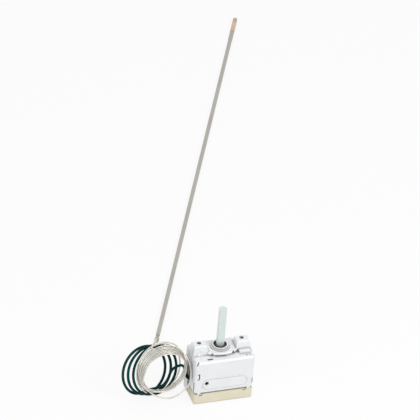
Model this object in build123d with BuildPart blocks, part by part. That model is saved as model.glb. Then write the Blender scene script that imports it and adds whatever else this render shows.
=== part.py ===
from build123d import *
from math import cos, pi, radians, sin, tan
import os

os.makedirs("parts", exist_ok=True)

# The origin is on the shaft's axis, in the plane that the ceramic base stands on.
# +Z runs up the shaft, -Y is the front with the embossed rib, and the capillary leaves on -X.

# Driving sizes of the case, in mm
sheet = 1.0
case_width = 44.5
case_depth = 25.0
shaft_to_back = 9.5
case_top_z = 36.7
case_skirt_z = 10.4
case_corner = 2.4
case_top_fillet = 1.8
lug_width = 2.5
lug_foot_gap = 0.1

# Raised fixing platforms, one each side of the shaft
hole_spacing = 32.0
thread_bore_d = 3.3
thread_collar_wall = 0.9
thread_collar_drop = 1.6
platform_z = 43.4
platform_length = 9.2
platform_depth = 6.8
platform_centre_y = -0.9
platform_flare_side = 1.4
platform_flare_front = 2.6
platform_fillet = 0.7

# Stepped plateau with the drawn collar round the shaft
plateau_rise = 2.0
plateau_side_x = 11.4
plateau_back_y = 7.8
plateau_corner_y = -6.4
plateau_front_y = -9.8
plateau_notch_size = 1.5
right_notch_inset = (3.8, 1.3)
left_notch_inset = (3.2, 1.5)
front_slit_length = 8.0
front_slit_height = 0.6
front_slit_x = -2.0
inner_step_rise = 0.6
inner_step_radius = 7.0
collar_rise = 0.9
collar_outer_r = 5.8
collar_bore_r = 4.9

# Small features of the case
pillow_rise = 1.5
pillow_length = 9.6
pillow_depth = 5.0
pillow_corner = 2.3
pillow_draft = 14
pillow_inset = (6.05, 7.5)
dent_r = 3.0
dent_offset = (-0.7, -7.3, 2.7)
corner_slot = (2.4, 0.8, 2.6)
corner_slot_inset = (1.55, 0.8, 0.8)
top_slot_length = 4.4
top_slot_width = 1.7
top_slot_inset = (11.45, 3.5)
pip_d = 1.1
pip_insets = [(5.65, 3.3), (3.25, 3.5)]
rib_length = 33.0
rib_height = 7.6
rib_rise = 0.8
rib_draft = 30
rib_centre_x = 0.3
rib_z = 17.0
rib_hole_d = 3.0
rib_hole_offset = (-13.7, 1.6)
seam_width = 1.1
seam_height = 8.5
side_seam_inset = 1.9
front_seam_width = 1.0
front_seam_height = 4.0
front_seam_inset = (1.05, 5.0)
hook_height = 5.4
hook_width = 3.4
hook_slot = 0.8
hook_inset = 1.85
hook_z = 24.5

# Opening in the left wall for the capillary
exit_y = -2.2
exit_width = 3.4
exit_top_z = 26.2

# Ceramic base
base_side_inset = 0.35
base_front_inset = 0.05
foot_height = 8.8
tier_z = 13.0
tier_gap = 0.2
base_corner = 1.2
base_edge = 0.5
chamber_floor_z = 6.0
chamber_length = 32.0
chamber_depth = 14.5
chamber_centre_y = -2.75
chamber_corner = 2.0
counterbore_depth = 0.9
counterbore_gap = 0.5
foot_notch_width = 2.4
foot_notch_depth = 0.7
foot_notch_xs = (-17.0, 15.6)

# Side tabs that are bent round the base
tab_width = 6.0
tab_hook = 2.2
tab_foot_z = 0.9
tab_gap = 0.15
tab_y = 3.6

# Guide plate and push pin
plate_thickness = 1.5
plate_side_gap = 1.75
plate_front_gap = 1.2
guide_boss_r = 3.0
guide_boss_height = 1.7
pin_r = 1.42
pin_clearance = 0.08
pin_overhang = 0.8

# Switch blades and terminals
strip = 0.8
terminal_width = 6.3
terminal_reach = 9.0
terminal_hole_d = 1.6
terminal_corner = 1.05
terminal_gap = 0.1
line_x = -11.0
load_x = 9.0
load_strip_z = 11.2
load_riser_y = 3.2
strip_nose_y = -7.0
rivet_y = -4.7
rivet_gap = 0.05
post_width = 3.0
blade_thickness = 0.4
blade_width = 5.0
blade_z = 8.4
blade_tail = 2.0
blade_nose = 2.2
blade_corner = 1.0
tongue_length = 5.5
tongue_width = 1.7
tongue_x = -5.0
post_gap = 0.06
contact_r = 1.6
moving_contact_height = 0.9
fixed_contact_height = 0.7
rivet_shank_r = 1.1
rivet_head_r = 1.9
rivet_head = 0.6

# Diaphragm capsule with its stud and button
button_gap = 0.1
button_r = 2.4
button_height = 1.8
capsule_r = 7.8
capsule_flat_r = 6.4
capsule_step_r = 7.1
capsule_groove_r = 4.0
capsule_height = 3.6
capsule_rim = 0.9
capsule_groove = 0.5
stud_r = 2.5
stud_clearance = 0.06
stud_height = 9.4
stub_y = exit_y
stub_root_x = -4.2
stub_lift = 1.0
solder_r = 1.1
solder_cover = 0.2
solder_draft = 12
capillary_r = 0.5
lift_travel = 0.375
end_gap = 0.4

# Shaft with its disc, washer, bush and bridge
shaft_d = 6.0
shaft_tip_z = 72.0
shaft_flat = 4.6
flat_foot_z = 41.0
shaft_chamfer = 0.5
hub_r = 4.5
hub_clearance = 0.06
hub_drop = 6.0
bore_headroom = 1.0
disc_r = 5.2
disc_thickness = 1.9
disc_gap = 0.2
stop_lug_reach = 1.5
stop_lug_half = 23.5
stop_post_half = 19.5
stop_gap = 0.4
stop_post_at = 90.0
turn_range = 270.0
washer_thickness = 0.4
washer_gap = 0.05
washer_r = 5.0
bush_flange = 1.8
bush_flange_r = 6.1
bush_neck = 0.9
neck_gap = 0.2
shaft_clearance = 0.05
bridge_sheet = 1.5
bridge_side_gap = 1.25
bridge_depth = 15.6
bridge_centre_y = -1.1
bridge_slot_width = 3.2

# Capillary, sleeve and probe
sleeve_r = 0.9
green_turn_r = 19.6
green_centre = (-53.2, 7.8, 20.2)
green_normal = (0.4, -0.89, 0.22)
green_shift = (3.8, -0.82, 0.0)
green_turns = 3
green_end_trim = 0.15
silver_turn_r = 16.8
silver_centre = (-42.6, 1.3, 24.1)
silver_normal = (0.13, -0.96, 0.26)
silver_turns = 8
silver_pitch = 1.05
probe_d = 3.0
probe_length = 406.8
probe_start = (-23.2, 67.12)
probe_heading = 64.5
neck_length = 3.0
neck_d = 2.2
ferrule_length = 9.0
ferrule_d = 3.6
crimp_depth = 0.35
tip_length = 29.0
tip_d = 3.3
tip_round = 0.6
ring_length = 11.0
ring_wall = 0.08
ring_from_tip = 17.0


# Values that follow from the sizes above
case_back_y = shaft_to_back
case_front_y = shaft_to_back - case_depth
case_centre_y = shaft_to_back - case_depth / 2
case_side_x = case_width / 2
base_width = case_width - 2 * base_side_inset
base_depth = case_depth - 2 * base_front_inset
plate_length = case_width - 2 * (sheet + plate_side_gap)
plate_depth = case_depth - 2 * (sheet + plate_front_gap)
bridge_span = case_width - 2 * (sheet + bridge_side_gap)
blade_pivot_x = line_x
contact_x = load_x
top_under_z = case_top_z - sheet
plateau_z = case_top_z + plateau_rise
plateau_under_z = plateau_z - sheet
step_z = plateau_z + inner_step_rise
collar_z = step_z + collar_rise
plate_top_z = tier_z + plate_thickness
bridge_top_z = plateau_under_z - bush_flange - 2 * washer_gap - washer_thickness - disc_thickness - disc_gap
bridge_under_z = bridge_top_z - bridge_sheet
disc_under_z = bridge_top_z + disc_gap
disc_top_z = disc_under_z + disc_thickness
bush_under_z = plateau_under_z - bush_flange
pin_foot_z = blade_z + blade_thickness + post_gap
pin_top_z = plate_top_z + guide_boss_height + pin_overhang
button_z = pin_top_z + button_gap
capsule_z = button_z + button_height
capsule_top_z = capsule_z + capsule_height
stud_top_z = capsule_top_z + stud_height
stub_z = capsule_top_z + stub_lift
hub_under_z = bridge_under_z - hub_drop
bore_top_z = stud_top_z + lift_travel + bore_headroom


def drawn_box(inset, mode):
    """The five-sided box of the case, smaller by inset on every face."""
    with BuildSketch(Plane.XY.offset(case_skirt_z)) as outline:
        with Locations((0, case_centre_y)):
            RectangleRounded(case_width - 2 * inset, case_depth - 2 * inset, case_corner - inset)
    extrude(outline.sketch, amount=case_top_z - inset - case_skirt_z, mode=mode)


def drawn_platform(side, inset, mode):
    """One raised platform, flared to its foot, smaller by inset on every face."""
    foot_z = case_top_z - sheet - inset
    top_x = side * hole_spacing / 2
    foot_length = platform_length + 2 * platform_flare_side - 2 * inset
    foot_depth = platform_depth + 2 * platform_flare_front - 2 * inset
    with BuildSketch(Plane.XY.offset(foot_z)) as foot:
        with Locations((top_x, platform_centre_y)):
            Rectangle(foot_length, foot_depth)
    with BuildSketch(Plane.XY.offset(platform_z - inset)) as top:
        with Locations((top_x, platform_centre_y)):
            Rectangle(platform_length - 2 * inset, platform_depth - 2 * inset)
    loft(sections=[foot.sketch, top.sketch], mode=mode)


def drawn_plateau(inset, mode):
    """The plateau with its bowed front, smaller by inset on every face."""
    with BuildSketch(Plane.XY.offset(case_top_z - sheet - inset)) as outline:
        with BuildLine():
            Polyline(
                (-plateau_side_x, plateau_corner_y),
                (-plateau_side_x, plateau_back_y),
                (plateau_side_x, plateau_back_y),
                (plateau_side_x, plateau_corner_y),
            )
            ThreePointArc(
                (plateau_side_x, plateau_corner_y), (0, plateau_front_y), (-plateau_side_x, plateau_corner_y)
            )
        make_face()
        if inset:
            offset(amount=-inset, kind=Kind.INTERSECTION)
    extrude(outline.sketch, amount=plateau_rise + sheet, mode=mode)


# Case shell
with BuildPart() as case_shell:
    drawn_box(0, Mode.ADD)
    fillet(case_shell.faces().sort_by(Axis.Z)[-1].edges(), case_top_fillet)
    drawn_plateau(0, Mode.ADD)
    fillet(case_shell.faces().sort_by(Axis.Z)[-1].edges(), platform_fillet)
    with BuildSketch(Plane.XY.offset(plateau_z)):
        Circle(inner_step_radius)
    extrude(amount=inner_step_rise)
    with BuildSketch(Plane.XY.offset(step_z)):
        Circle(collar_outer_r)
    extrude(amount=collar_rise)
    for side in (-1, 1):
        drawn_platform(side, 0, Mode.ADD)
    platform_tops = case_shell.faces().filter_by(Axis.Z).sort_by(Axis.Z)[-2:]
    fillet(platform_tops.edges(), platform_fillet)
    with BuildSketch(Plane.XY.offset(case_top_z - sheet)):
        with Locations((case_side_x - pillow_inset[0], case_front_y + pillow_inset[1])):
            RectangleRounded(pillow_length, pillow_depth, pillow_corner)
    extrude(amount=sheet + pillow_rise, taper=pillow_draft)
    # dished hollow at the foot of the left platform
    dent_x = dent_offset[0] - hole_spacing / 2
    with Locations((dent_x, platform_centre_y + dent_offset[1], case_top_z + dent_offset[2])):
        Sphere(dent_r, mode=Mode.SUBTRACT)
    # the embossed rib on the front wall
    with BuildSketch(Plane.XZ.offset(-case_front_y)):
        with Locations((rib_centre_x, rib_z)):
            SlotOverall(rib_length, rib_height)
    extrude(amount=rib_rise, taper=rib_draft)
    # the hollow inside the sheet
    drawn_box(sheet, Mode.SUBTRACT)
    drawn_plateau(sheet, Mode.SUBTRACT)
    for side in (-1, 1):
        drawn_platform(side, sheet, Mode.SUBTRACT)
    with BuildSketch(Plane.XZ.offset(-case_front_y - sheet)):
        with Locations((rib_centre_x, rib_z)):
            SlotOverall(rib_length - 2 * sheet, rib_height - 2 * sheet)
    extrude(amount=rib_rise, mode=Mode.SUBTRACT)
    # plunged collars under the platforms, tapped for the fixing screws
    for side in (-1, 1):
        with BuildSketch(Plane.XY.offset(platform_z - sheet - thread_collar_drop)):
            with Locations((side * hole_spacing / 2, 0)):
                Circle(thread_bore_d / 2 + thread_collar_wall)
        extrude(amount=thread_collar_drop + sheet / 2)
        with BuildSketch(Plane.XY.offset(platform_z)):
            with Locations((side * hole_spacing / 2, 0)):
                Circle(thread_bore_d / 2)
        extrude(amount=-(thread_collar_drop + 2 * sheet), mode=Mode.SUBTRACT)
    # collar bore
    with BuildSketch(Plane.XY.offset(plateau_under_z - sheet)):
        Circle(collar_bore_r)
    extrude(amount=collar_z - plateau_under_z + 2 * sheet, mode=Mode.SUBTRACT)
    # lanced notches and slit along the plateau's front edge
    right_notch = (plateau_side_x - right_notch_inset[0], plateau_front_y + right_notch_inset[1])
    left_notch = (left_notch_inset[0] - plateau_side_x, plateau_front_y + left_notch_inset[1])
    for notch_place in (right_notch, left_notch):
        with BuildSketch(Plane.XY.offset(plateau_z)):
            with Locations(notch_place):
                Rectangle(plateau_notch_size, plateau_notch_size, rotation=45)
        extrude(amount=-plateau_rise, mode=Mode.SUBTRACT)
    with BuildSketch(Plane.XZ.offset(-plateau_front_y)):
        with Locations((front_slit_x, case_top_z + front_slit_height / 2)):
            Rectangle(front_slit_length, front_slit_height)
    extrude(amount=-2 * sheet, mode=Mode.SUBTRACT)
    # slot and pips in the top
    with BuildSketch(Plane.XY.offset(case_top_z + pillow_rise)):
        with Locations((top_slot_inset[0] - case_side_x, case_front_y + top_slot_inset[1])):
            SlotOverall(top_slot_length, top_slot_width)
        for side_inset, front_inset in pip_insets:
            with Locations((case_side_x - side_inset, case_front_y + front_inset)):
                Circle(pip_d / 2)
    extrude(amount=-(pillow_rise + 2 * sheet), mode=Mode.SUBTRACT)
    # slot across the front left corner of the top
    slot_side, slot_front, slot_top = corner_slot_inset
    slot_centre = (slot_side - case_side_x, case_front_y + slot_front, case_top_z - slot_top)
    with Locations(Location(slot_centre, (0, 0, 45))):
        Box(*corner_slot, mode=Mode.SUBTRACT)
    # hole at the rib's left end
    with BuildSketch(Plane.XZ.offset(-case_front_y + rib_rise)):
        with Locations((rib_centre_x + rib_hole_offset[0], rib_z + rib_hole_offset[1])):
            Circle(rib_hole_d / 2)
    extrude(amount=-(rib_rise + 2 * sheet), mode=Mode.SUBTRACT)
    # open seams where the folded walls meet
    for side in (-1, 1):
        with BuildSketch(Plane.XY.offset(case_skirt_z)):
            with Locations((side * (case_side_x - sheet / 2), case_front_y + side_seam_inset)):
                Rectangle(2 * sheet, seam_width)
        extrude(amount=seam_height, mode=Mode.SUBTRACT)
    with BuildSketch(Plane.XZ.offset(-case_front_y)):
        with Locations((case_side_x - front_seam_inset[0], case_skirt_z + front_seam_inset[1])):
            Rectangle(front_seam_width, front_seam_height)
    extrude(amount=-case_corner, mode=Mode.SUBTRACT)
    # hook-shaped lock slot by the left edge of the front wall
    hook_centre_x = hook_inset - case_side_x
    with BuildSketch(Plane.XZ.offset(-case_front_y)):
        with Locations((hook_centre_x, hook_z)):
            RectangleRounded(hook_width, hook_height, hook_slot)
            Rectangle(hook_width - 2 * hook_slot, hook_height - 2 * hook_slot, mode=Mode.SUBTRACT)
        with Locations((hook_centre_x - hook_width / 2, hook_z)):
            Rectangle(hook_width, hook_height, mode=Mode.SUBTRACT)
    extrude(amount=-2 * sheet, mode=Mode.SUBTRACT)
    # capillary slot, open at the skirt
    with BuildSketch(Plane.YZ.offset(-case_side_x)):
        with Locations((exit_y, (case_skirt_z + exit_top_z - exit_width / 2) / 2)):
            Rectangle(exit_width, exit_top_z - exit_width / 2 - case_skirt_z)
        with Locations((exit_y, exit_top_z - exit_width / 2)):
            Circle(exit_width / 2)
    extrude(amount=2 * sheet, mode=Mode.SUBTRACT)
    # legs at the corners that stand on the base
    for side in (-1, 1):
        for wall_y in (case_front_y + sheet / 2, case_back_y - sheet / 2):
            with BuildSketch(Plane.XY.offset(foot_height + lug_foot_gap)):
                with Locations((side * (case_side_x - case_corner - lug_width / 2), wall_y)):
                    Rectangle(lug_width, sheet)
            extrude(amount=case_skirt_z - foot_height - lug_foot_gap + sheet)
    # side tabs, bent under the base
    for side in (-1, 1):
        with BuildSketch(Plane.XY.offset(tab_foot_z)):
            with Locations((side * (case_side_x - sheet / 2), tab_y)):
                Rectangle(sheet, tab_width)
        extrude(amount=case_skirt_z - tab_foot_z + sheet)
        with BuildSketch(Plane.XY.offset(tab_foot_z)):
            with Locations((side * (case_side_x - (sheet + tab_hook) / 2), tab_y)):
                Rectangle(sheet + tab_hook, tab_width)
        extrude(amount=sheet)
case_shell.part.label = "case_shell"
export_step(case_shell.part, "parts/case_shell.step")

# Ceramic base
with BuildPart() as ceramic_base:
    with BuildSketch():
        with Locations((0, case_centre_y)):
            RectangleRounded(base_width, base_depth, base_corner)
    extrude(amount=foot_height)
    chamfer(ceramic_base.faces().sort_by(Axis.Z)[-1].edges(), base_edge)
    chamfer(ceramic_base.faces().sort_by(Axis.Z)[0].edges(), base_edge)
    with BuildSketch(Plane.XY.offset(foot_height)):
        with Locations((0, case_centre_y)):
            RectangleRounded(
                case_width - 2 * (sheet + tier_gap), case_depth - 2 * (sheet + tier_gap), base_corner
            )
    extrude(amount=tier_z - foot_height)
    with BuildSketch(Plane.XY.offset(tier_z)):
        with Locations((0, chamber_centre_y)):
            RectangleRounded(chamber_length, chamber_depth, chamber_corner)
    extrude(amount=-(tier_z - chamber_floor_z), mode=Mode.SUBTRACT)
    # counterbores for the rivet heads in the underside
    with BuildSketch():
        with Locations((line_x, rivet_y), (load_x, rivet_y)):
            Circle(rivet_head_r + counterbore_gap)
    extrude(amount=counterbore_depth, mode=Mode.SUBTRACT)
    # slots in the rear wall for the two terminal strips
    for terminal_x in (line_x, load_x):
        with BuildSketch(Plane.XZ.offset(-case_back_y)):
            with Locations((terminal_x, chamber_floor_z + (strip + terminal_gap) / 2)):
                Rectangle(terminal_width + 2 * terminal_gap, strip + terminal_gap)
        extrude(amount=case_depth / 2, mode=Mode.SUBTRACT)
    # notches in the sides for the case tabs
    for side in (-1, 1):
        with BuildSketch():
            with Locations((side * (case_side_x - (sheet + tab_gap) / 2), tab_y)):
                Rectangle(sheet + tab_gap, tab_width + 2 * tab_gap)
        extrude(amount=tier_z, mode=Mode.SUBTRACT)
        with BuildSketch():
            with Locations((side * (case_side_x - (sheet + tab_hook + tab_gap) / 2), tab_y)):
                Rectangle(sheet + tab_hook + tab_gap, tab_width + 2 * tab_gap)
        extrude(amount=tab_foot_z + sheet + tab_gap, mode=Mode.SUBTRACT)
    # small notches in the top edge of the front
    for notch_x in foot_notch_xs:
        with BuildSketch(Plane.XY.offset(foot_height)):
            with Locations((notch_x, case_front_y)):
                Rectangle(foot_notch_width, 2 * foot_notch_depth)
        extrude(amount=-foot_notch_depth * 2, mode=Mode.SUBTRACT)
    # rivet holes under the strips
    with BuildSketch():
        with Locations((line_x, rivet_y), (load_x, rivet_y)):
            Circle(rivet_shank_r + rivet_gap)
    extrude(amount=chamber_floor_z, mode=Mode.SUBTRACT)
ceramic_base.part.label = "ceramic_base"
export_step(ceramic_base.part, "parts/ceramic_base.step")

# Guide plate with its boss
with BuildPart() as guide_plate:
    with BuildSketch(Plane.XY.offset(tier_z)):
        with Locations((0, case_centre_y)):
            RectangleRounded(plate_length, plate_depth, base_corner)
    extrude(amount=plate_thickness)
    chamfer(guide_plate.faces().sort_by(Axis.Z)[-1].edges(), base_edge / 2)
    with BuildSketch(Plane.XY.offset(plate_top_z)):
        Circle(guide_boss_r)
    extrude(amount=guide_boss_height)
    with BuildSketch(Plane.XY.offset(tier_z)):
        Circle(pin_r + pin_clearance)
    extrude(amount=plate_thickness + guide_boss_height, mode=Mode.SUBTRACT)
guide_plate.part.label = "guide_plate"
export_step(guide_plate.part, "parts/guide_plate.step")

# Push pin between the capsule's button and the spring blade
with BuildPart() as push_pin:
    with BuildSketch(Plane.XY.offset(pin_foot_z)):
        Circle(pin_r)
    extrude(amount=pin_top_z - pin_foot_z)
    fillet(push_pin.edges().group_by(Axis.Z)[0], pin_r / 3)
    fillet(push_pin.edges().group_by(Axis.Z)[-1], pin_r / 3)
push_pin.part.label = "push_pin"
export_step(push_pin.part, "parts/push_pin.step")


def strip_on_floor(terminal_x):
    """The flat strip of a terminal, from its nose in the chamber to the tip of its blade."""
    blade_tip_y = case_back_y + terminal_reach
    with BuildSketch(Plane.XY.offset(chamber_floor_z)) as outline:
        with Locations((terminal_x, (blade_tip_y + strip_nose_y) / 2)):
            Rectangle(terminal_width, blade_tip_y - strip_nose_y)
        tip_corners = outline.vertices().group_by(Axis.Y)[-1]
        chamfer(tip_corners, terminal_corner)
        with Locations((terminal_x, case_back_y + terminal_reach / 2)):
            Circle(terminal_hole_d / 2, mode=Mode.SUBTRACT)
        with Locations((terminal_x, rivet_y)):
            Circle(rivet_shank_r + rivet_gap, mode=Mode.SUBTRACT)
    extrude(outline.sketch, amount=strip)


# Line terminal, with the raised post under the blade's fixed end
with BuildPart() as line_terminal:
    strip_on_floor(line_x)
    with BuildSketch(Plane.XY.offset(chamber_floor_z)):
        with Locations((line_x, 0)):
            Rectangle(post_width, blade_width)
    extrude(amount=blade_z - post_gap - chamber_floor_z)
line_terminal.part.label = "line_terminal"
export_step(line_terminal.part, "parts/line_terminal.step")

# Load terminal: its arm rises from the chamber floor to hold the fixed contact over the blade
with BuildPart() as load_terminal:
    strip_on_floor(load_x)
    with BuildSketch(Plane.YZ.offset(load_x - terminal_width / 2)):
        with BuildLine():
            Polyline(
                (load_riser_y, chamber_floor_z),
                (load_riser_y, load_strip_z),
                (-blade_width / 2, load_strip_z),
                (-blade_width / 2, load_strip_z + strip),
                (load_riser_y + strip, load_strip_z + strip),
                (load_riser_y + strip, chamber_floor_z),
                close=True,
            )
        make_face()
    extrude(amount=terminal_width)
load_terminal.part.label = "load_terminal"
export_step(load_terminal.part, "parts/load_terminal.step")


def terminal_rivet(rivet_x):
    """A rivet from its counterbore in the underside up through a terminal's strip."""
    with BuildSketch(Plane.XY.offset(counterbore_depth)) as shank:
        with Locations((rivet_x, rivet_y)):
            Circle(rivet_shank_r)
    extrude(shank.sketch, amount=chamber_floor_z + strip - counterbore_depth)
    for head_z in (counterbore_depth - rivet_head, chamber_floor_z + strip):
        with BuildSketch(Plane.XY.offset(head_z)) as head:
            with Locations((rivet_x, rivet_y)):
                Circle(rivet_head_r)
        extrude(head.sketch, amount=rivet_head)


# Rivets that hold the two strips on the base
with BuildPart() as line_rivet:
    terminal_rivet(line_x)
line_rivet.part.label = "line_rivet"
export_step(line_rivet.part, "parts/line_rivet.step")

with BuildPart() as load_rivet:
    terminal_rivet(load_x)
load_rivet.part.label = "load_rivet"
export_step(load_rivet.part, "parts/load_rivet.step")

# Spring blade, with the window that frees its tongue
with BuildPart() as contact_blade:
    blade_tail_x = blade_pivot_x - blade_tail
    blade_nose_x = contact_x + blade_nose
    with BuildSketch(Plane.XY.offset(blade_z)):
        with Locations(((blade_tail_x + blade_nose_x) / 2, 0)):
            RectangleRounded(blade_nose_x - blade_tail_x, blade_width, blade_corner)
        with Locations((tongue_x, 0)):
            SlotOverall(tongue_length, tongue_width, mode=Mode.SUBTRACT)
    extrude(amount=blade_thickness)
contact_blade.part.label = "contact_blade"
export_step(contact_blade.part, "parts/contact_blade.step")

# Silver contact on the spring blade
with BuildPart() as moving_contact:
    with BuildSketch(Plane.XY.offset(blade_z + blade_thickness)):
        with Locations((contact_x, 0)):
            Circle(contact_r)
    extrude(amount=moving_contact_height)
    fillet(moving_contact.edges().group_by(Axis.Z)[-1], moving_contact_height / 3)
moving_contact.part.label = "moving_contact"
export_step(moving_contact.part, "parts/moving_contact.step")

# Silver contact under the load terminal
with BuildPart() as fixed_contact:
    with BuildSketch(Plane.XY.offset(load_strip_z)):
        with Locations((contact_x, 0)):
            Circle(contact_r)
    extrude(amount=-fixed_contact_height)
    fillet(fixed_contact.edges().group_by(Axis.Z)[0], fixed_contact_height / 3)
fixed_contact.part.label = "fixed_contact"
export_step(fixed_contact.part, "parts/fixed_contact.step")

# Diaphragm capsule: two dished discs joined at the rim, with pressed grooves
with BuildPart() as diaphragm_capsule:
    with BuildSketch(Plane.XZ):
        with BuildLine():
            Polyline(
                (0, capsule_z),
                (capsule_flat_r, capsule_z),
                (capsule_step_r, capsule_z + capsule_height / 2 - capsule_rim / 2),
                (capsule_r, capsule_z + capsule_height / 2 - capsule_rim / 2),
                (capsule_r, capsule_z + capsule_height / 2 + capsule_rim / 2),
                (capsule_step_r, capsule_z + capsule_height / 2 + capsule_rim / 2),
                (capsule_flat_r, capsule_top_z),
                (0, capsule_top_z),
                close=True,
            )
        make_face()
        with Locations((capsule_groove_r, capsule_z)):
            Circle(capsule_groove, mode=Mode.SUBTRACT)
    revolve(axis=Axis.Z)
diaphragm_capsule.part.label = "diaphragm_capsule"
export_step(diaphragm_capsule.part, "parts/diaphragm_capsule.step")

# Stud on the capsule, threaded into the shaft's hub
with BuildPart() as capsule_stud:
    with BuildSketch(Plane.XY.offset(capsule_top_z)):
        Circle(stud_r)
    extrude(amount=stud_height)
    chamfer(capsule_stud.edges().group_by(Axis.Z)[-1], stud_r / 5)
capsule_stud.part.label = "capsule_stud"
export_step(capsule_stud.part, "parts/capsule_stud.step")

# Button under the capsule that moves the push pin
with BuildPart() as pressure_button:
    with BuildSketch(Plane.XY.offset(button_z)):
        Circle(button_r)
    extrude(amount=button_height)
    fillet(pressure_button.edges().group_by(Axis.Z)[0], button_r / 6)
pressure_button.part.label = "pressure_button"
export_step(pressure_button.part, "parts/pressure_button.step")

# Capillary's inner end, with the solder cone on the capsule
stub_end_x = -case_side_x + sheet + end_gap
with BuildPart() as capillary_stub:
    with BuildSketch(Plane.YZ.offset(stub_end_x)):
        with Locations((stub_y, stub_z)):
            Circle(capillary_r)
    extrude(amount=stub_root_x - stub_end_x)
    with BuildSketch(Plane.XY.offset(capsule_top_z)):
        with Locations((stub_root_x, stub_y)):
            Circle(solder_r)
    extrude(amount=stub_lift + capillary_r + solder_cover, taper=solder_draft)
capillary_stub.part.label = "capillary_stub"
export_step(capillary_stub.part, "parts/capillary_stub.step")

# Control shaft with its flat and threaded hub
with BuildPart() as control_shaft:
    with BuildSketch(Plane.XY.offset(disc_under_z)):
        Circle(shaft_d / 2)
    extrude(amount=shaft_tip_z - disc_under_z)
    chamfer(control_shaft.edges().group_by(Axis.Z)[-1], shaft_chamfer)
    with BuildSketch(Plane.XY.offset(flat_foot_z)):
        with Locations((0, shaft_d / 2 - shaft_flat - shaft_d / 2)):
            Rectangle(shaft_d, shaft_d)
    extrude(amount=shaft_tip_z - flat_foot_z, mode=Mode.SUBTRACT)
    with BuildSketch(Plane.XY.offset(hub_under_z)):
        Circle(hub_r)
    extrude(amount=disc_under_z - hub_under_z)
    chamfer(control_shaft.edges().group_by(Axis.Z)[0], shaft_chamfer / 2)
    with BuildSketch(Plane.XY.offset(hub_under_z)):
        Circle(stud_r + stud_clearance)
    extrude(amount=bore_top_z - hub_under_z, mode=Mode.SUBTRACT)
control_shaft.part.label = "control_shaft"
export_step(control_shaft.part, "parts/control_shaft.step")

# Disc pressed on the shaft, with the lug that ends its turn
stop_lug_at = stop_post_at - (360 - turn_range) / 2
with BuildPart() as stop_disc:
    with BuildSketch(Plane.XY.offset(disc_under_z)):
        Circle(disc_r)
        with BuildLine():
            lug_outer_r = disc_r + stop_lug_reach
            lug_start = stop_lug_at - stop_lug_half
            Line((0, 0), (lug_outer_r * cos(radians(lug_start)), lug_outer_r * sin(radians(lug_start))))
            CenterArc((0, 0), lug_outer_r, lug_start, 2 * stop_lug_half)
            lug_end = stop_lug_at + stop_lug_half
            Line((lug_outer_r * cos(radians(lug_end)), lug_outer_r * sin(radians(lug_end))), (0, 0))
        make_face()
        Circle(shaft_d / 2, mode=Mode.SUBTRACT)
    extrude(amount=disc_thickness)
stop_disc.part.label = "stop_disc"
export_step(stop_disc.part, "parts/stop_disc.step")

# Friction washer between the disc and the bush
with BuildPart() as friction_washer:
    with BuildSketch(Plane.XY.offset(disc_top_z + washer_gap)):
        Circle(washer_r)
        Circle(shaft_d / 2 + neck_gap, mode=Mode.SUBTRACT)
    extrude(amount=washer_thickness)
friction_washer.part.label = "friction_washer"
export_step(friction_washer.part, "parts/friction_washer.step")

# Brass bush, its flange under the plateau and its neck in the drawn collar
with BuildPart() as bearing_bush:
    with BuildSketch(Plane.XY.offset(bush_under_z)):
        Circle(bush_flange_r)
    extrude(amount=bush_flange)
    with BuildSketch(Plane.XY.offset(plateau_under_z)):
        Circle(collar_bore_r - neck_gap)
    extrude(amount=bush_neck)
    with BuildSketch(Plane.XY.offset(bush_under_z)):
        Circle(shaft_d / 2 + shaft_clearance)
    extrude(amount=bush_flange + bush_neck, mode=Mode.SUBTRACT)
    chamfer(bearing_bush.edges().group_by(Axis.Z)[-1], neck_gap)
bearing_bush.part.label = "bearing_bush"
export_step(bearing_bush.part, "parts/bearing_bush.step")

# Bridge that carries the shaft's hub, with the stop post pressed up from it
with BuildPart() as bridge:
    with BuildSketch(Plane.XY.offset(plate_top_z)):
        with Locations((0, bridge_centre_y)):
            Rectangle(bridge_span, bridge_depth)
    extrude(amount=bridge_top_z - plate_top_z)
    fillet(bridge.faces().sort_by(Axis.Z)[-1].edges().filter_by(Axis.Y), bridge_sheet)
    with BuildSketch(Plane.XY.offset(plate_top_z)):
        with Locations((0, bridge_centre_y)):
            Rectangle(bridge_span - 2 * bridge_sheet, bridge_depth)
    extrude(amount=bridge_under_z - plate_top_z, mode=Mode.SUBTRACT)
    with BuildSketch(Plane.XY.offset(bridge_under_z)):
        Circle(hub_r + hub_clearance)
    extrude(amount=bridge_sheet, mode=Mode.SUBTRACT)
    with BuildSketch(Plane.YZ.offset(-bridge_span / 2)):
        with Locations((stub_y, (plate_top_z + stub_z + bridge_slot_width / 2) / 2)):
            Rectangle(bridge_slot_width, stub_z + bridge_slot_width / 2 - plate_top_z)
    extrude(amount=bridge_sheet, mode=Mode.SUBTRACT)
    post_inner_r = disc_r + stop_gap
    post_outer_r = disc_r + stop_lug_reach
    with BuildSketch(Plane.XY.offset(bridge_top_z)):
        with BuildLine():
            post_start = stop_post_at - stop_post_half
            Line((0, 0), (post_outer_r * cos(radians(post_start)), post_outer_r * sin(radians(post_start))))
            CenterArc((0, 0), post_outer_r, post_start, 2 * stop_post_half)
            post_end = stop_post_at + stop_post_half
            Line((post_outer_r * cos(radians(post_end)), post_outer_r * sin(radians(post_end))), (0, 0))
        make_face()
        Circle(post_inner_r, mode=Mode.SUBTRACT)
    extrude(amount=disc_gap + disc_thickness)
bridge.part.label = "bridge"
export_step(bridge.part, "parts/bridge.step")


def corner_radii(points):
    """Arc radii for a route's corners, each as large as its two runs allow."""
    radii = []
    for before, corner, after in zip(points, points[1:], points[2:]):
        run_in = Vector(*corner) - Vector(*before)
        run_out = Vector(*after) - Vector(*corner)
        turn = radians(run_in.get_angle(run_out))
        radii.append(0.45 * min(run_in.length, run_out.length) / tan(turn / 2))
    return radii


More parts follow.
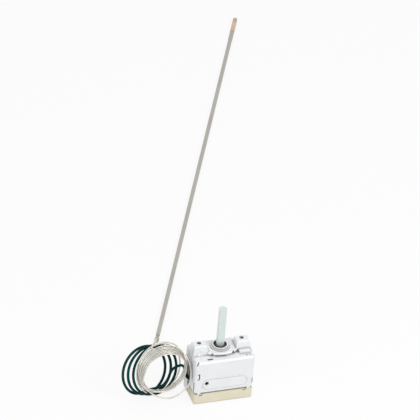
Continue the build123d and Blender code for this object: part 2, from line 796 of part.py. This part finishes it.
def report_tube(name, points, radii, tube, tube_r):
    """Prints the radii of a route and how its volume compares with section times length."""
    length = sum((Vector(*b) - Vector(*a)).length for a, b in zip(points, points[1:]))
    print(name, "runs", round(length, 1), "smallest radius", round(min(radii), 1))
    print(name, "volume over section", round(tube.volume / (pi * tube_r**2), 1))


# Green sleeve from the case to its coil
lead_points = [
    (-case_side_x + sheet, exit_y, stub_z),
    (-27.4, -2.4, 23.6),
    (-32.6, -0.4, 21.4),
    (-35.6, 2.9, 16.6),
    (-37.6, 5.8, 10.6),
    (-41.0, 6.8, 5.4),
    (-46.0, 6.6, 2.4),
    (-51.6, 5.6, 1.3),
]
lead_radii = corner_radii(lead_points)
with BuildPart() as sleeve_lead:
    with BuildLine() as lead_line:
        FilletPolyline(*lead_points, radius=lead_radii)
    with BuildSketch(Plane(origin=lead_line.line @ 0, z_dir=lead_line.line % 0)):
        Circle(sleeve_r)
    sweep(path=lead_line.line)
report_tube("sleeve_lead", lead_points, lead_radii, sleeve_lead.part, sleeve_r)
sleeve_lead.part.label = "sleeve_lead"
export_step(sleeve_lead.part, "parts/sleeve_lead.step")

# Outer shape of the green coil, its turns stepping to the right
with BuildPart() as sleeve_coil:
    shift_length = Vector(*green_shift).length
    shift_way = Vector(*green_shift).normalized()
    coil_start = Vector(*green_centre) - shift_way * (shift_length * (0.5 - green_end_trim))
    with BuildSketch(Plane(origin=coil_start, z_dir=green_normal)):
        Circle(green_turn_r + sleeve_r)
        Circle(green_turn_r - sleeve_r, mode=Mode.SUBTRACT)
    extrude(amount=shift_length * (green_turns - 2 * green_end_trim), dir=shift_way)
sleeve_coil.part.label = "sleeve_coil"
export_step(sleeve_coil.part, "parts/sleeve_coil.step")

# Outer shape of the bare capillary's tight turns
silver_axis = Vector(*silver_normal).normalized()
with BuildPart() as capillary_coil:
    coil_length = silver_turns * silver_pitch
    coil_back = Vector(*silver_centre) - silver_axis * (coil_length / 2)
    with BuildSketch(Plane(origin=coil_back, z_dir=silver_axis)):
        Circle(silver_turn_r + capillary_r)
        Circle(silver_turn_r - capillary_r, mode=Mode.SUBTRACT)
    extrude(amount=coil_length)
capillary_coil.part.label = "capillary_coil"
export_step(capillary_coil.part, "parts/capillary_coil.step")

# Probe, lying on the surface behind the case, worked out along its own axis
probe_plane = Plane(
    origin=(probe_start[0], probe_start[1], ferrule_d / 2),
    x_dir=(sin(radians(probe_heading)), -cos(radians(probe_heading)), 0),
    z_dir=(cos(radians(probe_heading)), sin(radians(probe_heading)), 0),
)
with BuildPart() as probe_ferrule:
    with BuildSketch(probe_plane.offset(-neck_length - ferrule_length)):
        Circle(ferrule_d / 2)
    extrude(amount=ferrule_length)
    chamfer(probe_ferrule.edges(), crimp_depth)
    with BuildSketch(probe_plane.offset(-neck_length)):
        Circle(neck_d / 2)
    extrude(amount=neck_length)
    with BuildSketch(probe_plane.offset(-neck_length - ferrule_length)):
        Circle(capillary_r)
    extrude(amount=ferrule_length / 2, mode=Mode.SUBTRACT)
probe_ferrule.part.label = "probe_ferrule"
export_step(probe_ferrule.part, "parts/probe_ferrule.step")

with BuildPart() as probe_tube:
    with BuildSketch(probe_plane):
        Circle(probe_d / 2)
    extrude(amount=probe_length - tip_length)
probe_tube.part.label = "probe_tube"
export_step(probe_tube.part, "parts/probe_tube.step")

with BuildPart() as probe_tip:
    with BuildSketch(probe_plane.offset(probe_length - tip_length)):
        Circle(tip_d / 2)
    extrude(amount=tip_length)
    fillet(probe_tip.edges(), tip_round)
probe_tip.part.label = "probe_tip"
export_step(probe_tip.part, "parts/probe_tip.step")

# Coppery band of the braze round the probe's tip
with BuildPart() as tip_ring:
    with BuildSketch(probe_plane.offset(probe_length - ring_from_tip)):
        Circle(tip_d / 2 + ring_wall)
        Circle(tip_d / 2, mode=Mode.SUBTRACT)
    extrude(amount=ring_length)
tip_ring.part.label = "tip_ring"
export_step(tip_ring.part, "parts/tip_ring.step")

# Capillary from the coil's front turn, round the loose loop and down to the ferrule
ferrule_end = probe_plane.offset(-neck_length - ferrule_length).origin
tail_points = [
    (-49.6, 0.3, 39.9),
    (-38.8, 0.6, 43.2),
    (-29.4, -1.1, 39.6),
    (-24.6, -4.8, 31.0),
    (-24.0, -9.5, 21.0),
    (-26.9, -10.7, 10.5),
    (-34.9, -9.0, 2.6),
    (-44.5, -5.2, 1.2),
    (-54.0, -4.8, 7.0),
    (-60.4, -6.0, 17.5),
    (-61.0, -4.8, 29.5),
    (-56.2, -1.2, 39.2),
    (-49.0, 6.3, 44.4),
    (-43.5, 17.0, 41.0),
    (-40.2, 27.5, 30.5),
    (-38.0, 36.5, 18.5),
    (-34.9, 44.5, 6.6),
    (-31.6, 50.6, 1.8),
    (ferrule_end.X, ferrule_end.Y, ferrule_end.Z),
]
tail_radii = corner_radii(tail_points)
with BuildPart() as capillary_tail:
    with BuildLine() as tail_line:
        FilletPolyline(*tail_points, radius=tail_radii)
    with BuildSketch(Plane(origin=tail_line.line @ 0, z_dir=tail_line.line % 0)):
        Circle(capillary_r)
    sweep(path=tail_line.line)
report_tube("capillary_tail", tail_points, tail_radii, capillary_tail.part, capillary_r)
capillary_tail.part.label = "capillary_tail"
export_step(capillary_tail.part, "parts/capillary_tail.step")
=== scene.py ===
import bpy
from math import cos, pi, radians, sin
from mathutils import Matrix, Vector


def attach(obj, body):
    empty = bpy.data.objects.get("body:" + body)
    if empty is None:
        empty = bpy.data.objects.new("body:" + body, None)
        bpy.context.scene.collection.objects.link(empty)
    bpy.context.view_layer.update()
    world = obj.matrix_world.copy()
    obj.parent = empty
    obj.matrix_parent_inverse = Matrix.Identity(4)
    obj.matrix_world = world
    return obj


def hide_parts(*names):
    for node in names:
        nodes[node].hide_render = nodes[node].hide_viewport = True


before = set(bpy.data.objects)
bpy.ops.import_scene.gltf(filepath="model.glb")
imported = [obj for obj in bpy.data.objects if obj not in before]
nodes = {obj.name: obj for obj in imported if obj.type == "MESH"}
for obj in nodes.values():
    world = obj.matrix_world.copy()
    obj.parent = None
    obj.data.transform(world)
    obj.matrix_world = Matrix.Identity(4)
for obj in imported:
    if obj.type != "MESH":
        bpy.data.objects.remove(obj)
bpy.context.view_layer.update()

mm = 0.001


def clearSelection():
    if bpy.context.object and bpy.context.object.mode != "OBJECT":
        bpy.ops.object.mode_set(mode="OBJECT")
    bpy.ops.object.select_all(action="DESELECT")


def makeActive(piece):
    clearSelection()
    piece.select_set(True)
    bpy.context.view_layer.objects.active = piece


def newMaterial(name, baseColor, roughness, metallic=0.0):
    material = bpy.data.materials.new(name)
    material.use_nodes = True
    shader = material.node_tree.nodes["Principled BSDF"]
    shader.inputs["Base Color"].default_value = (*baseColor, 1.0)
    shader.inputs["Roughness"].default_value = roughness
    shader.inputs["Metallic"].default_value = metallic
    return material, material.node_tree, shader


def wearMaterial(piece, material):
    piece.data.materials.clear()
    piece.data.materials.append(material)


# Surface: broad patches of tone, fine grain in gloss and height, and painted shade in creases
surface = {
    "patchDetail": 4.0, "grainDetail": 3.0, "bumpDistance": 0.2 * mm,
    "creviceSamples": 12, "closedBelow": 0.25, "openAbove": 0.95, "plainGloss": 0.5,
}


def buildSurfaceGroup():
    group = bpy.data.node_groups.new("surfaceVariation", "ShaderNodeTree")
    face = group.interface
    for socketName, kind in (("Vector", "Vector"), ("Patch Scale", "Float"), ("Grain Scale", "Float"),
                             ("Light", "Color"), ("Dark", "Color"), ("Rough Low", "Float"),
                             ("Rough High", "Float")):
        face.new_socket(socketName, in_out="INPUT", socket_type="NodeSocket" + kind)
    for socketName, kind in (("Color", "Color"), ("Roughness", "Float"), ("Height", "Float")):
        face.new_socket(socketName, in_out="OUTPUT", socket_type="NodeSocket" + kind)
    start = group.nodes.new("NodeGroupInput")
    end = group.nodes.new("NodeGroupOutput")
    patch = group.nodes.new("ShaderNodeTexNoise")
    patch.inputs["Detail"].default_value = surface["patchDetail"]
    grain = group.nodes.new("ShaderNodeTexNoise")
    grain.inputs["Detail"].default_value = surface["grainDetail"]
    mix = group.nodes.new("ShaderNodeMix")
    mix.data_type = "RGBA"
    roughMix = group.nodes.new("ShaderNodeMapRange")
    link = group.links.new
    link(start.outputs["Vector"], patch.inputs["Vector"])
    link(start.outputs["Vector"], grain.inputs["Vector"])
    link(start.outputs["Patch Scale"], patch.inputs["Scale"])
    link(start.outputs["Grain Scale"], grain.inputs["Scale"])
    link(patch.outputs["Fac"], mix.inputs["Factor"])
    link(start.outputs["Light"], mix.inputs["A"])
    link(start.outputs["Dark"], mix.inputs["B"])
    link(grain.outputs["Fac"], roughMix.inputs["Value"])
    link(start.outputs["Rough Low"], roughMix.inputs["To Min"])
    link(start.outputs["Rough High"], roughMix.inputs["To Max"])
    link(mix.outputs["Result"], end.inputs["Color"])
    link(roughMix.outputs["Result"], end.inputs["Roughness"])
    link(grain.outputs["Fac"], end.inputs["Height"])
    return group


surfaceGroup = buildSurfaceGroup()


def addVariation(tree, shader, finish):
    coords = tree.nodes.new("ShaderNodeTexCoord")
    mapping = tree.nodes.new("ShaderNodeMapping")
    mapping.inputs["Scale"].default_value = finish.get("stretch", (1, 1, 1))
    worn = tree.nodes.new("ShaderNodeGroup")
    worn.node_tree = surfaceGroup
    worn.inputs["Patch Scale"].default_value = finish["patch"]
    worn.inputs["Grain Scale"].default_value = finish["grain"]
    worn.inputs["Light"].default_value = (*finish["light"], 1)
    worn.inputs["Dark"].default_value = (*finish["dark"], 1)
    worn.inputs["Rough Low"].default_value = finish["rough"][0]
    worn.inputs["Rough High"].default_value = finish["rough"][1]
    height = tree.nodes.new("ShaderNodeBump")
    height.inputs["Strength"].default_value = finish["bump"]
    height.inputs["Distance"].default_value = surface["bumpDistance"]
    tree.links.new(coords.outputs["Object"], mapping.inputs["Vector"])
    tree.links.new(mapping.outputs["Vector"], worn.inputs["Vector"])
    reach, depth, shade = finish["crevice"]
    crevice = tree.nodes.new("ShaderNodeAmbientOcclusion")  # painted shade where faces meet
    crevice.samples = surface["creviceSamples"]
    crevice.inputs["Distance"].default_value = reach
    openness = tree.nodes.new("ShaderNodeMapRange")
    openness.inputs["From Min"].default_value = surface["closedBelow"]
    openness.inputs["From Max"].default_value = surface["openAbove"]
    openness.inputs["To Min"].default_value = 1 - depth
    # painted shade: the crease tone is mixed into the base colour where the faces close in
    paintedCreaseShade = tree.nodes.new("ShaderNodeMix")
    paintedCreaseShade.data_type = "RGBA"
    paintedCreaseShade.inputs["A"].default_value = (*shade, 1)
    tree.links.new(crevice.outputs["AO"], openness.inputs["Value"])
    tree.links.new(openness.outputs["Result"], paintedCreaseShade.inputs["Factor"])
    tree.links.new(worn.outputs["Color"], paintedCreaseShade.inputs["B"])
    tree.links.new(paintedCreaseShade.outputs["Result"], shader.inputs["Base Color"])
    tree.links.new(worn.outputs["Roughness"], shader.inputs["Roughness"])
    tree.links.new(worn.outputs["Height"], height.inputs["Height"])
    tree.links.new(height.outputs["Normal"], shader.inputs["Normal"])


# Each finish: the CAD nodes that wear it, its two tones, metal, gloss range, patch and grain scale,
# grain height, and its painted crease shade as reach in metres, depth and tone
finishes = {
    "zincSheet": dict(wornBy=["case_shell", "bridge"],
                      light=(0.865, 0.88, 0.885), dark=(0.775, 0.79, 0.80), metallic=0.35,
                      rough=(0.30, 0.46), patch=90, grain=1400, bump=0.10,
                      crevice=(0.0026, 1.0, (0.10, 0.10, 0.11))),
    "steatite": dict(wornBy=["ceramic_base"],
                     light=(0.78, 0.73, 0.58), dark=(0.71, 0.66, 0.51), metallic=0.0,
                     rough=(0.55, 0.75), patch=160, grain=2600, bump=0.25,
                     crevice=(0.002, 0.8, (0.20, 0.17, 0.11))),
    "shaftAlloy": dict(wornBy=["control_shaft"],
                       light=(0.72, 0.79, 0.77), dark=(0.64, 0.72, 0.70), metallic=0.45,
                       rough=(0.28, 0.42), patch=140, grain=900, bump=0.06, stretch=(1, 1, 14),
                       crevice=(0.004, 0.9, (0.20, 0.15, 0.09))),
    # Its dark tones are partly oily dark bronze and partly painted shade in the collar's bore; the rivets
    # share it
    "oilyBrassPaintedShade": dict(wornBy=["bearing_bush", "line_rivet", "load_rivet"],
                      light=(0.34, 0.27, 0.16), dark=(0.22, 0.17, 0.10), metallic=0.8,
                      rough=(0.35, 0.55), patch=300, grain=1800, bump=0.05,
                      crevice=(0.004, 0.9, (0.03, 0.025, 0.02))),
    "greenSleeve": dict(wornBy=["sleeve_lead", "sleeve_coil"],
                        light=(0.006, 0.088, 0.080), dark=(0.0004, 0.011, 0.010), metallic=0.0,
                        rough=(0.34, 0.46), patch=260, grain=2400, bump=0.05, gloss=0.06,
                        crevice=(0.003, 0.8, (0.0, 0.003, 0.003))),
    "bareCapillary": dict(wornBy=["capillary_coil", "capillary_tail", "capillary_stub"],
                          light=(0.78, 0.755, 0.69), dark=(0.58, 0.555, 0.505), metallic=0.65,
                          rough=(0.30, 0.44), patch=220, grain=2200, bump=0.04,
                          crevice=(0.0009, 1.0, (0.08, 0.075, 0.07))),
    "probeSteel": dict(wornBy=["probe_ferrule", "probe_tube", "probe_tip"],
                       light=(0.50, 0.48, 0.43), dark=(0.40, 0.38, 0.34), metallic=0.75,
                       rough=(0.28, 0.40), patch=60, grain=1600, bump=0.04,
                       crevice=(0.002, 0.7, (0.05, 0.045, 0.04))),
    "brazeRing": dict(wornBy=["tip_ring"],
                      light=(0.76, 0.54, 0.40), dark=(0.62, 0.42, 0.29), metallic=0.7,
                      rough=(0.30, 0.45), patch=400, grain=1800, bump=0.05,
                      crevice=(0.002, 0.6, (0.1, 0.06, 0.04))),
    "springBrass": dict(wornBy=["contact_blade"],
                        light=(0.78, 0.62, 0.32), dark=(0.66, 0.50, 0.24), metallic=0.95,
                        rough=(0.22, 0.34), patch=200, grain=1600, bump=0.04,
                        crevice=(0.002, 0.5, (0.1, 0.08, 0.04))),
    "tinnedStrip": dict(wornBy=["line_terminal", "load_terminal"],
                        light=(0.76, 0.76, 0.75), dark=(0.66, 0.66, 0.65), metallic=0.9,
                        rough=(0.24, 0.38), patch=160, grain=1500, bump=0.05,
                        crevice=(0.002, 0.5, (0.1, 0.1, 0.1))),
    "silverContact": dict(wornBy=["moving_contact", "fixed_contact"],
                          light=(0.86, 0.85, 0.82), dark=(0.74, 0.73, 0.70), metallic=1.0,
                          rough=(0.15, 0.28), patch=500, grain=1800, bump=0.03,
                          crevice=(0.001, 0.5, (0.1, 0.1, 0.1))),
    "capsuleSteel": dict(wornBy=["diaphragm_capsule", "capsule_stud", "stop_disc"],
                         light=(0.72, 0.71, 0.68), dark=(0.62, 0.61, 0.58), metallic=0.95,
                         rough=(0.22, 0.34), patch=200, grain=1500, bump=0.04,
                         crevice=(0.002, 0.5, (0.1, 0.1, 0.1))),
    "whiteCeramic": dict(wornBy=["pressure_button", "push_pin"],
                         light=(0.86, 0.85, 0.80), dark=(0.78, 0.76, 0.70), metallic=0.0,
                         rough=(0.35, 0.50), patch=300, grain=2200, bump=0.08,
                         crevice=(0.001, 0.5, (0.3, 0.28, 0.22))),
    "guideBoard": dict(wornBy=["guide_plate"],
                       light=(0.34, 0.22, 0.13), dark=(0.25, 0.16, 0.09), metallic=0.0,
                       rough=(0.45, 0.62), patch=200, grain=1800, bump=0.12,
                       crevice=(0.002, 0.5, (0.05, 0.03, 0.02))),
    "washerBronze": dict(wornBy=["friction_washer"],
                         light=(0.66, 0.48, 0.30), dark=(0.52, 0.37, 0.22), metallic=0.95,
                         rough=(0.24, 0.36), patch=300, grain=1600, bump=0.04,
                         crevice=(0.001, 0.5, (0.08, 0.05, 0.03))),
}

materials = {}
for finishName, finish in finishes.items():
    material, tree, shader = newMaterial(finishName, finish["light"], finish["rough"][0], finish["metallic"])
    shader.inputs["Specular IOR Level"].default_value = finish.get("gloss", surface["plainGloss"])
    addVariation(tree, shader, finish)
    materials[finishName] = material
    for nodeName in finish["wornBy"]:
        wearMaterial(nodes[nodeName], material)
print("materials placed")


# Capillary: one line from the case, through the sleeve's turns and the bare turns, to the ferrule
capillary = {
    "diameter": 1.0 * mm,
    "sleeveDiameter": 2.0 * mm,
    "turnPoints": 20, "alongSteps": 6, "roundSteps": 3,
    "leadPoints": [(-20.6, -2.4, 13.8), (-22.6, -2.6, 13.9), (-23.35, 0.6, 14.6), (-23.4, 4.0, 16.4),
                   (-23.8, 5.6, 19.6), (-26.2, 6.8, 20.3), (-32.6, 7.2, 17.3), (-34.9, 6.1, 9.1),
                   (-40.6, 1.8, 6.3), (-49.3, 5.3, 2.9)],
    # each key is a turn count, then the ring's centre, normal and radius there
    "sleevedTurns": [(0.0, (-54.6, 9.94, 17.92), (0.332, -0.892, 0.305), 17.55),
                     (0.5, (-52.75, 9.36, 18.06), (0.332, -0.892, 0.305), 17.68),
                     (1.5, (-49.03, 8.19, 18.32), (0.332, -0.892, 0.305), 17.9),
                     (2.5, (-45.3, 7.02, 18.62), (0.332, -0.892, 0.305), 18.1),
                     (3.3, (-44.0, 4.6, 20.9), (0.30, -0.91, 0.28), 18.3),
                     (3.8, (-43.9, 4.3, 22.2), (0.28, -0.92, 0.26), 19.0),
                     (4.3, (-42.9, 4.1, 22.9), (0.22, -0.95, 0.22), 18.5),
                     (4.6, (-43.4, 4.0, 23.0), (0.22, -0.95, 0.22), 19.5)],
    "sleeveSpan": (0.05, 3.10), "looseSpan": (3.15, 4.60),
    "loopPoints": [(-31.0, 2.6, 41.2), (-25.0, -3.0, 34.2), (-23.6, -6.6, 29.4), (-23.1, -9.2, 23.6),
                   (-23.8, -10.8, 18.4), (-26.2, -11.2, 13.6), (-31.8, -11.0, 7.8), (-37.0, -10.4, 4.8),
                   (-41.6, -9.9, 4.9), (-46.6, -9.2, 6.5), (-52.0, -8.4, 9.9), (-56.2, -7.6, 14.6),
                   (-59.4, -6.8, 21.0)],
    "tightTurns": [(0.5, (-41.7, -5.2, 24.4), (0.059, -0.997, 0.041), 16.4),
                   (1.5, (-41.9, -4.2, 24.4), (0.067, -0.995, 0.057), 16.7),
                   (2.5, (-41.9, -3.1, 24.1), (0.076, -0.993, 0.073), 17.2),
                   (3.5, (-41.9, -2.1, 24.4), (0.085, -0.990, 0.089), 17.1),
                   (4.5, (-42.1, -1.1, 24.2), (0.094, -0.988, 0.105), 17.7),
                   (5.5, (-42.1, -0.1, 24.3), (0.103, -0.986, 0.121), 17.7),
                   (6.5, (-42.3, 0.9, 24.2), (0.112, -0.984, 0.137), 18.2),
                   (7.5, (-42.3, 1.9, 24.2), (0.12, -0.981, 0.153), 18.1)],
    "tightSpan": (0.34, 7.42),
    "tailPoints": [(-50.2, 4.2, 41.6), (-46.9, 9.0, 42.6), (-42.2, 17.0, 39.4), (-39.2, 27.5, 29.0),
                   (-37.0, 36.5, 17.5), (-35.0, 44.5, 7.6), (-32.6, 51.2, 2.2), (-29.5, 57.2, 1.8),
                   (-27.6, 60.3, 1.8)],
}


def ringAt(keys, count):
    count = min(max(count, keys[0][0]), keys[-1][0])
    for before, after in zip(keys, keys[1:]):
        if count <= after[0]:
            share = (count - before[0]) / (after[0] - before[0])
            centre = Vector(before[1]).lerp(Vector(after[1]), share)
            normal = Vector(before[2]).lerp(Vector(after[2]), share)
            return centre, normal, before[3] + (after[3] - before[3]) * share


def turnPoints(keys, span):
    perTurn = capillary["turnPoints"]
    fuller = 1 / (0.75 + 0.25 * cos(2 * pi / perTurn))  # a spline of order 3 runs inside its points
    points = []
    for i in range(round((span[1] - span[0]) * perTurn) + 1):
        count = span[0] + i / perTurn
        centre, normal, radius = ringAt(keys, count)
        axis = normal.normalized()
        across = Vector((0, 0, 1)).cross(axis).normalized()
        angle = 2 * pi * count  # angle 0 is the lowest point
        outward = cos(angle) * axis.cross(across) + sin(angle) * across
        points.append(centre - radius * fuller * outward)
    return points


def splineObject(name, points, diameter, material):
    curve = bpy.data.curves.new(name, "CURVE")
    curve.dimensions = "3D"
    spline = curve.splines.new("NURBS")
    spline.points.add(len(points) - 1)
    for slot, point in zip(spline.points, points):
        slot.co = (*(point * mm), 1.0)
    spline.order_u = 3
    spline.use_endpoint_u = True
    spline.resolution_u = capillary["alongSteps"]
    curve.bevel_depth = diameter / 2
    curve.bevel_resolution = capillary["roundSteps"]
    curve.use_fill_caps = True
    curve.materials.append(material)
    obj = bpy.data.objects.new(name, curve)
    bpy.context.collection.objects.link(obj)
    return obj


sleevedPoints = [Vector(p) for p in capillary["leadPoints"]]
sleevedPoints += turnPoints(capillary["sleevedTurns"], capillary["sleeveSpan"])
barePoints = turnPoints(capillary["sleevedTurns"], capillary["looseSpan"])
barePoints += [Vector(p) for p in capillary["loopPoints"]]
barePoints += turnPoints(capillary["tightTurns"], capillary["tightSpan"])
barePoints += [Vector(p) for p in capillary["tailPoints"]]
wholeLine = sleevedPoints + barePoints
capillaryTube = splineObject("capillaryTube", wholeLine, capillary["diameter"], materials["bareCapillary"])
greenSleeve = splineObject("greenSleeve", sleevedPoints, capillary["sleeveDiameter"],
                           materials["greenSleeve"])

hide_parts("sleeve_lead", "sleeve_coil")
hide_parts("capillary_coil", "capillary_tail")
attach(greenSleeve, "case")
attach(capillaryTube, "case")
print("capillary and sleeve laid")

# Ferrule: a plain sleeve, a crimped piece with three pressed recesses, and a thin neck into the probe.
# Stations are places along it and radii, recesses are angles round it and places along it, in mm.
ferrule = {
    "probeStart": (-23.2 * mm, 67.12 * mm, 1.8 * mm), "heading": radians(64.5), "sides": 40,
    "endRadius": 1.45 * mm, "smoothAngle": radians(35),
    "stations": [(-11.8, 1.65), (-8.4, 1.65), (-8.2, 1.3), (-8.0, 1.3), (-7.8, 1.7), (-4.4, 1.7),
                 (-4.2, 0.8), (-1.2, 0.8), (-1.0, 1.4), (0.0, 1.5)],
    "farEnd": -12.0 * mm,
    "recessRadius": 0.75 * mm, "recessReach": 1.75 * mm, "recessSegments": 20, "recessRings": 12,
    "recesses": [(90, -6.9), (180, -4.9), (270, -5.8)],
}
clearSelection()
bpy.ops.mesh.primitive_circle_add(vertices=ferrule["sides"], radius=ferrule["endRadius"], fill_type="NGON",
                                  location=(0, 0, 0))
crimpFerrule = bpy.context.object
crimpFerrule.name = "crimpFerrule"
bpy.ops.object.mode_set(mode="EDIT")
bpy.ops.mesh.select_all(action="SELECT")
bpy.ops.transform.translate(value=(0, 0, ferrule["farEnd"]))
lastZ, lastRadius = ferrule["farEnd"], ferrule["endRadius"]
for stationZ, stationRadius in ferrule["stations"]:
    rise = stationZ * mm - lastZ
    growth = stationRadius * mm / lastRadius
    bpy.ops.mesh.extrude_region_move(TRANSFORM_OT_translate={"value": (0, 0, rise)})
    bpy.ops.transform.resize(value=(growth, growth, 1), center_override=(0, 0, stationZ * mm))
    lastZ, lastRadius = stationZ * mm, stationRadius * mm
bpy.ops.mesh.select_all(action="SELECT")
bpy.ops.mesh.normals_make_consistent(inside=False)
bpy.ops.object.mode_set(mode="OBJECT")
for recessAngle, recessZ in ferrule["recesses"]:
    around = radians(recessAngle)
    clearSelection()
    bpy.ops.mesh.primitive_uv_sphere_add(
        segments=ferrule["recessSegments"], ring_count=ferrule["recessRings"], radius=ferrule["recessRadius"],
        location=(ferrule["recessReach"] * cos(around), ferrule["recessReach"] * sin(around), recessZ * mm))
    press = bpy.context.object
    makeActive(crimpFerrule)
    dent = crimpFerrule.modifiers.new("dent", "BOOLEAN")
    dent.operation = "DIFFERENCE"
    dent.solver = "EXACT"
    dent.object = press
    bpy.ops.object.modifier_apply(modifier=dent.name)
    bpy.data.objects.remove(press, do_unlink=True)
makeActive(crimpFerrule)
bpy.ops.object.mode_set(mode="EDIT")
bpy.ops.mesh.select_all(action="SELECT")
bpy.ops.transform.rotate(value=-pi / 2, orient_axis="Y", center_override=(0, 0, 0))  # along +X
bpy.ops.transform.rotate(value=-ferrule["heading"], orient_axis="Z", center_override=(0, 0, 0))
bpy.ops.transform.translate(value=ferrule["probeStart"])
bpy.ops.object.mode_set(mode="OBJECT")
bpy.ops.object.shade_smooth_by_angle(angle=ferrule["smoothAngle"])
wearMaterial(crimpFerrule, materials["probeSteel"])
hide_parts("probe_ferrule")
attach(crimpFerrule, "case")
print("ferrule crimped")

# Smooth shading on the drawn, pressed and turned pieces
smoothed = {"pieces": ("case_shell", "ceramic_base", "control_shaft"), "angle": radians(32)}
for smoothName in smoothed["pieces"]:
    makeActive(nodes[smoothName])
    bpy.ops.object.shade_smooth_by_angle(angle=smoothed["angle"])
print("faces smoothed")

# Floor, backdrop and light
studio = {
    "floorSize": 6.0, "floorCentre": (0.05, 0.15, -0.0002),
    "floorTone": (0.92, 0.92, 0.92), "floorRoughness": 0.9, "floorGlow": 0.88,
    "ambient": 0.55, "backdrop": 1.0,
    "cameraDistance": 6.0, "azimuth": -20.399, "elevation": 36.299, "roll": 4.99, "lens": 715.9,
    "sensor": 36.0, "nearest": 0.1, "furthest": 100.0,
    "aside": -4.35 * mm, "above": 127.95 * mm,
}
lamps = {
    "keyLight": dict(place=(0.55, -0.55, 0.75), aim=(0, 0, 0.03), size=0.5, power=4.0, tone=(1, 1, 1)),
    "fillLight": dict(place=(-0.8, -0.5, 0.45), aim=(-0.04, 0, 0.02), size=0.6, power=2.8,
                      tone=(0.97, 0.98, 1.0)),
    "topLight": dict(place=(0.1, 0.35, 0.95), aim=(0, 0.05, 0), size=0.7, power=0.9, tone=(1, 1, 1)),
}


def addSeenMask(tree):  # 1 where the camera sees the surface, directly or in metal and glass
    rays = tree.nodes.new("ShaderNodeLightPath")
    seen = tree.nodes.new("ShaderNodeMath")
    seen.operation = "MAXIMUM"
    seenThrough = tree.nodes.new("ShaderNodeMath")
    seenThrough.operation = "MAXIMUM"
    tree.links.new(rays.outputs["Is Camera Ray"], seen.inputs[0])
    tree.links.new(rays.outputs["Is Glossy Ray"], seen.inputs[1])
    tree.links.new(seen.outputs[0], seenThrough.inputs[0])
    tree.links.new(rays.outputs["Is Transmission Ray"], seenThrough.inputs[1])
    return seenThrough.outputs[0]


clearSelection()
bpy.ops.mesh.primitive_plane_add(size=studio["floorSize"], location=studio["floorCentre"])
floor = bpy.context.object
floor.name = "floor"

floorMaterial, floorTree, floorShader = newMaterial("paleFloor", studio["floorTone"],
                                                    studio["floorRoughness"])
glow = floorTree.nodes.new("ShaderNodeEmission")
glow.inputs["Color"].default_value = (1, 1, 1, 1)
glow.inputs["Strength"].default_value = studio["backdrop"]
glowShare = floorTree.nodes.new("ShaderNodeMath")
glowShare.operation = "MULTIPLY"
glowShare.inputs[1].default_value = studio["floorGlow"]
floorMix = floorTree.nodes.new("ShaderNodeMixShader")
floorTree.links.new(addSeenMask(floorTree), glowShare.inputs[0])
floorTree.links.new(glowShare.outputs[0], floorMix.inputs["Fac"])
floorTree.links.new(floorShader.outputs["BSDF"], floorMix.inputs[1])
floorTree.links.new(glow.outputs["Emission"], floorMix.inputs[2])
floorTree.links.new(floorMix.outputs["Shader"], floorTree.nodes["Material Output"].inputs["Surface"])
wearMaterial(floor, floorMaterial)

world = bpy.data.worlds.new("studio")
bpy.context.scene.world = world
world.use_nodes = True
worldTree = world.node_tree
ambient = worldTree.nodes["Background"]
ambient.inputs["Color"].default_value = (1, 1, 1, 1)
ambient.inputs["Strength"].default_value = studio["ambient"]
white = worldTree.nodes.new("ShaderNodeBackground")
white.inputs["Color"].default_value = (1, 1, 1, 1)
white.inputs["Strength"].default_value = studio["backdrop"]
worldMix = worldTree.nodes.new("ShaderNodeMixShader")
worldTree.links.new(addSeenMask(worldTree), worldMix.inputs["Fac"])
worldTree.links.new(ambient.outputs["Background"], worldMix.inputs[1])
worldTree.links.new(white.outputs["Background"], worldMix.inputs[2])
worldTree.links.new(worldMix.outputs["Shader"], worldTree.nodes["World Output"].inputs["Surface"])

for lampName, lamp in lamps.items():
    clearSelection()
    bpy.ops.object.light_add(type="AREA", location=lamp["place"])
    softLight = bpy.context.object
    softLight.name = lampName
    softLight.data.shape = "DISK"
    softLight.data.size = lamp["size"]
    softLight.data.energy = lamp["power"]
    softLight.data.color = lamp["tone"]
    towards = Vector(lamp["place"]) - Vector(lamp["aim"])
    softLight.rotation_euler = towards.to_track_quat("Z", "Y").to_euler()
print("stage and light set")

# Camera at the photograph's viewing angle
turn = Matrix.Rotation(radians(studio["azimuth"]), 4, "Z")
tilt = Matrix.Rotation(pi / 2 - radians(studio["elevation"]), 4, "X")
lean = Matrix.Rotation(radians(studio["roll"]), 4, "Z")
facing = turn @ tilt @ lean
clearSelection()
bpy.ops.object.camera_add(rotation=facing.to_euler())
camera = bpy.context.object
camera.name = "productCamera"
camera.location = facing.to_3x3() @ Vector((studio["aside"], studio["above"], studio["cameraDistance"]))
camera.data.lens = studio["lens"]
camera.data.sensor_width = studio["sensor"]
camera.data.clip_start = studio["nearest"]
camera.data.clip_end = studio["furthest"]
bpy.context.scene.camera = camera
bpy.context.scene.view_settings.view_transform = "Standard"
print("camera set")
